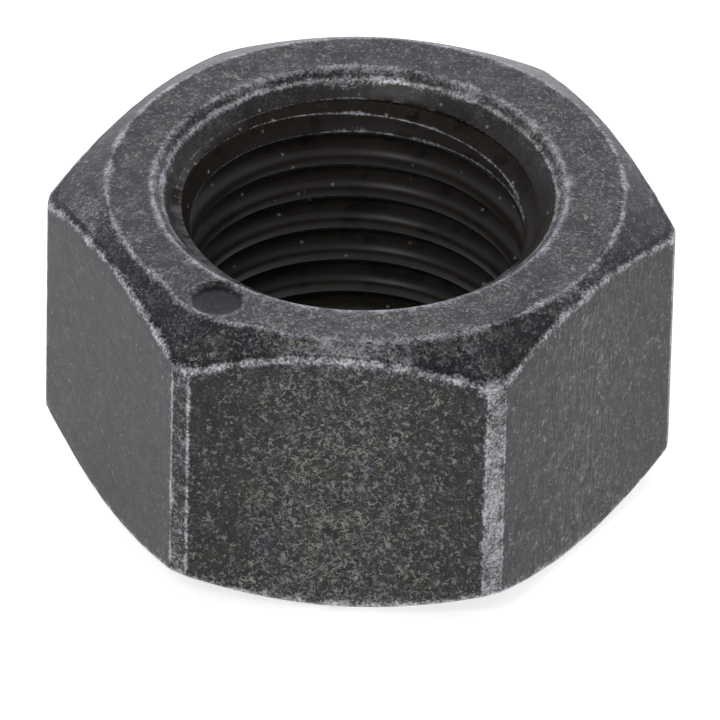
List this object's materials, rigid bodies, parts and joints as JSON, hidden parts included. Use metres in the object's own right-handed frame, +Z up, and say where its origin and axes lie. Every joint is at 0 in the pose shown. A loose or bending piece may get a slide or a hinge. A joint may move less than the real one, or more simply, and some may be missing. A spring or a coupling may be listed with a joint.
{
  "type": "hex nut",
  "caption": "Hexagon nut with a fine right-hand thread, both ends chamfered and countersunk, and a round punch mark on its upper face.",
  "frame": {"origin": "centre of the lower bearing face, on the thread axis", "axes": "+Z up the thread axis, +X to a corner of the hexagon, -Y out of a flat"},
  "size_m": [0.0238, 0.021, 0.0124],
  "materials": {
    "blackened_steel": "black phosphated and oiled steel, worn to pale metal along its edges"
  },
  "bodies": {
    "root": {"nut_body": "blackened_steel"}
  },
  "joints": []
}
